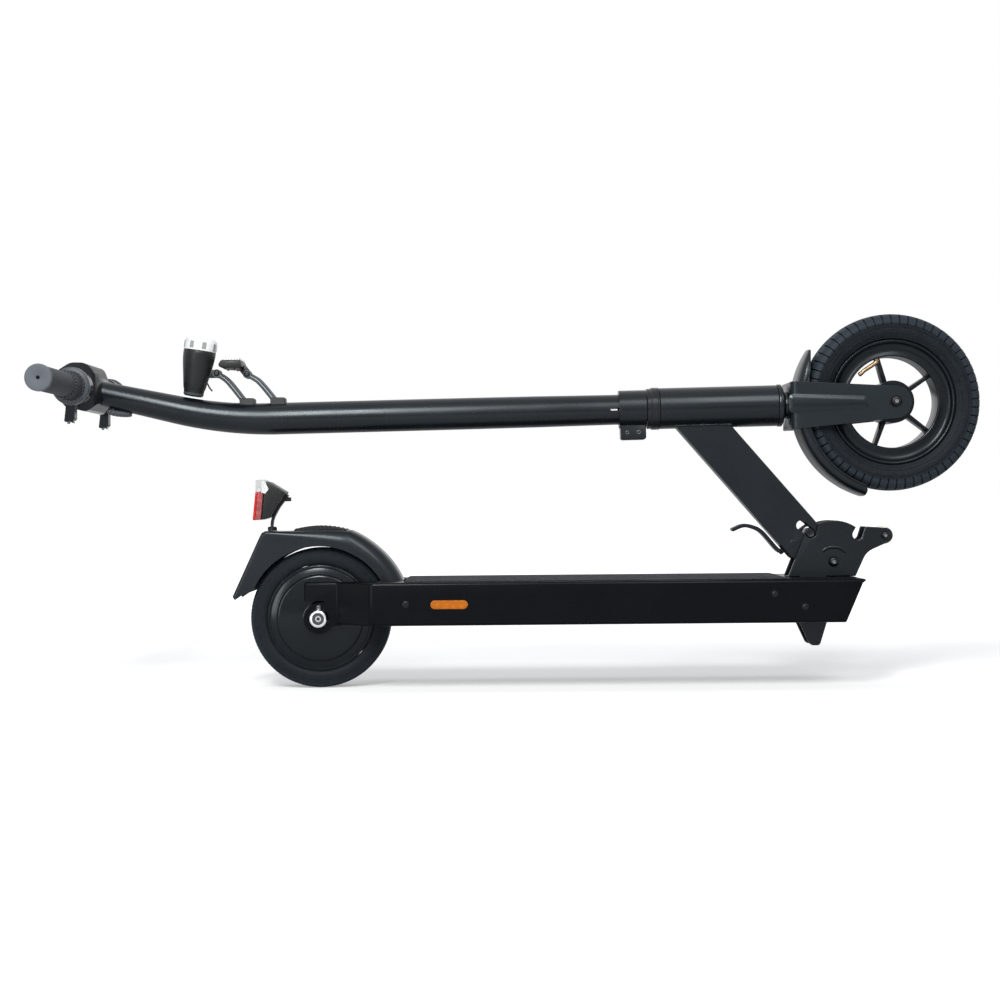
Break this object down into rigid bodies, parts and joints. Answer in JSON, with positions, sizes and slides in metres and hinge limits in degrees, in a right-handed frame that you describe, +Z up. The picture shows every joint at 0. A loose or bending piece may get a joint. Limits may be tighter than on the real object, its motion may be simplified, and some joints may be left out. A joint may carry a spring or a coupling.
{
  "type": "electric kick scooter",
  "caption": "Folding electric kick scooter, folded flat: deck with hub motor rear wheel, slotted neck with latch, long bent stem, air-tyred front wheel, foot brake fender.",
  "frame": {"origin": "middle of the bounding box's underside, on the ground under the rear wheel", "axes": "+X from the handlebar towards the front wheel as it lies folded, +Y the rider's left, +Z up"},
  "size_m": [1.0348, 0.462, 0.4162],
  "materials": {
    "satin_black_paint": "satin",
    "bright_steel": "satin",
    "battery_wrap": "satin",
    "black_plastic": "satin",
    "black_rubber": "matte",
    "deck_black_paint": "gloss",
    "gloss_black_plastic": "gloss",
    "dark_steel": "satin",
    "tyre_rubber": "matte",
    "grip_tape": "rough",
    "clear_lens": "clear",
    "amber_reflector": "gloss",
    "pale_nylon": "translucent",
    "red_lens": "gloss",
    "brass": "satin"
  },
  "bodies": {
    "deck": {"axle_bracket_left": "satin_black_paint", "axle_bracket_right": "satin_black_paint", "axle_nut_left": "bright_steel", "axle_nut_right": "bright_steel", "battery_pack": "battery_wrap", "charge_port": "black_rubber", "cheek_plate_left": "satin_black_paint", "cheek_plate_right": "satin_black_paint", "deck_bottom_cover": "deck_black_paint", "deck_frame": "deck_black_paint", "fender_pivot_bolt": "dark_steel", "fold_pivot_bolt": "dark_steel", "grip_tape": "grip_tape", "hinge_base": "dark_steel", "motor_controller": "dark_steel", "motor_stator": "dark_steel", "rear_axle": "bright_steel", "roller_bolt": "dark_steel", "side_reflector_left": "amber_reflector", "side_reflector_right": "amber_reflector"},
    "brake": {"brake_lever": "black_plastic"},
    "front_reflector": {"reflector_housing": "black_plastic", "reflector_lens": "clear_lens"},
    "front_wheel": {"front_rim": "satin_black_paint", "front_tyre": "tyre_rubber", "valve_stem": "brass"},
    "headlight": {"headlight_body": "black_plastic", "headlight_lens": "clear_lens"},
    "lock_pin": {"lock_pin": "dark_steel"},
    "neck": {"head_tube": "satin_black_paint", "headset_cup_lower": "gloss_black_plastic", "headset_cup_upper": "gloss_black_plastic", "neck_arm": "satin_black_paint"},
    "rear_fender": {"brake_shoe": "black_rubber", "rear_fender": "satin_black_paint", "step_pad": "black_rubber", "taillight_housing": "black_plastic", "taillight_lens": "red_lens", "taillight_stalk": "satin_black_paint"},
    "rear_wheel": {"motor_cover": "deck_black_paint", "motor_drum": "deck_black_paint", "rear_tyre": "tyre_rubber"},
    "release_lever": {"release_lever": "satin_black_paint"},
    "roller": {"stop_roller": "pale_nylon"},
    "steering": {"cable_boot": "black_rubber", "control_housing_left": "black_plastic", "control_housing_right": "black_plastic", "display_housing": "gloss_black_plastic", "display_window": "gloss_black_plastic", "fork": "satin_black_paint", "front_axle": "bright_steel", "front_fender": "satin_black_paint", "grip_left": "black_rubber", "grip_right": "black_rubber", "handlebar_tube": "satin_black_paint", "light_bracket": "satin_black_paint", "reflector_bracket": "satin_black_paint", "stem_clamp": "satin_black_paint", "stem_tube": "satin_black_paint"},
    "throttle": {"throttle_lever": "black_plastic"}
  },
  "joints": [
    {"name": "fold", "type": "hinge", "parent": "deck", "child": "neck", "pos_m": [0.34936, 0, 0.137], "axis": [0, 1, 0], "range_deg": [0, 80.35]},
    {"name": "steer", "type": "hinge", "parent": "neck", "child": "steering", "pos_m": [0.41736, 0, 0.3162], "axis": [0.9998, 0, 0.0175], "range_deg": [-60, 60]},
    {"name": "front_wheel_spin", "type": "hinge", "parent": "steering", "child": "front_wheel", "pos_m": [0.41736, 0, 0.3162], "axis": [0, 1, 0], "continuous": true},
    {"name": "rear_wheel_spin", "type": "hinge", "parent": "deck", "child": "rear_wheel", "pos_m": [-0.22874, 0, 0.079], "axis": [0, 1, 0], "continuous": true},
    {"name": "roller_spin", "type": "hinge", "parent": "deck", "child": "roller", "pos_m": [0.40796, 0, 0.1661], "axis": [0, 1, 0], "continuous": true},
    {"name": "fender_brake", "type": "hinge", "parent": "deck", "child": "rear_fender", "pos_m": [-0.12964, 0, 0.096], "axis": [0, -1, 0], "range_deg": [0, 3.8], "stiffness_Nm_per_rad": 40, "springref_deg": -3.44},
    {"name": "release", "type": "hinge", "parent": "neck", "child": "release_lever", "pos_m": [0.30506, 0, 0.1577], "axis": [0, -1, 0], "range_deg": [0, 33], "stiffness_Nm_per_rad": 0.3, "springref_deg": -28.65},
    {"name": "lock_pin_slide", "type": "slide", "parent": "neck", "child": "lock_pin", "axis": [-0.766, 0, 0.6428], "range_m": [0, 0.013]},
    {"name": "throttle_press", "type": "hinge", "parent": "steering", "child": "throttle", "pos_m": [-0.48893, 0, 0.33683], "axis": [0, -1, 0], "range_deg": [0, 30], "stiffness_Nm_per_rad": 0.1, "springref_deg": -28.65},
    {"name": "brake_press", "type": "hinge", "parent": "steering", "child": "brake", "pos_m": [-0.48893, 0, 0.33683], "axis": [0, -1, 0], "range_deg": [0, 30], "stiffness_Nm_per_rad": 0.1, "springref_deg": -28.65},
    {"name": "headlight_tilt", "type": "hinge", "parent": "steering", "child": "headlight", "pos_m": [-0.34514, 0, 0.3556], "axis": [0, 1, 0], "range_deg": [-3, 10]},
    {"name": "reflector_tilt", "type": "hinge", "parent": "steering", "child": "front_reflector", "pos_m": [-0.31082, 0, 0.3545], "axis": [0, 1, 0], "range_deg": [-8, 10]}
  ],
  "couplings": [
    {"joint": "lock_pin_slide", "follows": "release", "m_per_rad": 0.02257}
  ]
}
